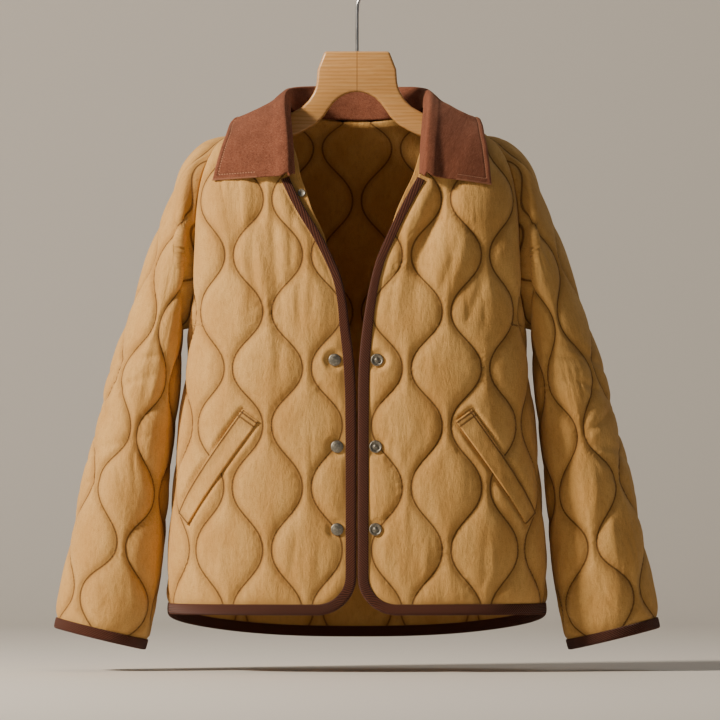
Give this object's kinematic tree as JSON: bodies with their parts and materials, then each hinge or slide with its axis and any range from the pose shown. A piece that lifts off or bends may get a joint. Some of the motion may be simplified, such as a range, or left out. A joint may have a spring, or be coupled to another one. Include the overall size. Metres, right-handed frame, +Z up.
{
  "type": "quilted jacket on a wooden hanger",
  "caption": "Open-fronted quilted jacket with a turn-down collar, bound edges, slanted welt pockets and snaps, hanging filled out on a wooden hanger.",
  "frame": {"origin": "top of the inside of the hanger's hook, where it bears on a rail", "axes": "+Z up, +X to the right as seen from the front (the wearer's left), -Y out of the jacket's front"},
  "size_m": [0.7322, 0.2523, 0.8479],
  "materials": {
    "quilted_cotton": "matt, padded and quilted cotton",
    "wool_felt": "matt felted wool",
    "binding_tape": "matt twill tape",
    "gunmetal": "darkened satin metal",
    "beech": "satin varnish",
    "steel": "bright drawn wire"
  },
  "bodies": {
    "root": {"front_right": "quilted_cotton", "front_left": "quilted_cotton", "back": "quilted_cotton", "sleeve_right": "quilted_cotton", "sleeve_left": "quilted_cotton", "facing_right": "quilted_cotton", "facing_left": "quilted_cotton", "pocket_welt_right": "quilted_cotton", "pocket_welt_left": "quilted_cotton", "collar": "wool_felt", "binding_front_right": "binding_tape", "binding_front_left": "binding_tape", "binding_back_hem": "binding_tape", "binding_cuff_right": "binding_tape", "binding_cuff_left": "binding_tape", "snap_right_1": "gunmetal", "snap_right_2": "gunmetal", "snap_right_3": "gunmetal", "snap_left_1": "gunmetal", "snap_left_2": "gunmetal", "snap_left_3": "gunmetal", "snap_facing": "gunmetal", "hanger": "beech", "hook": "steel"}
  },
  "joints": []
}
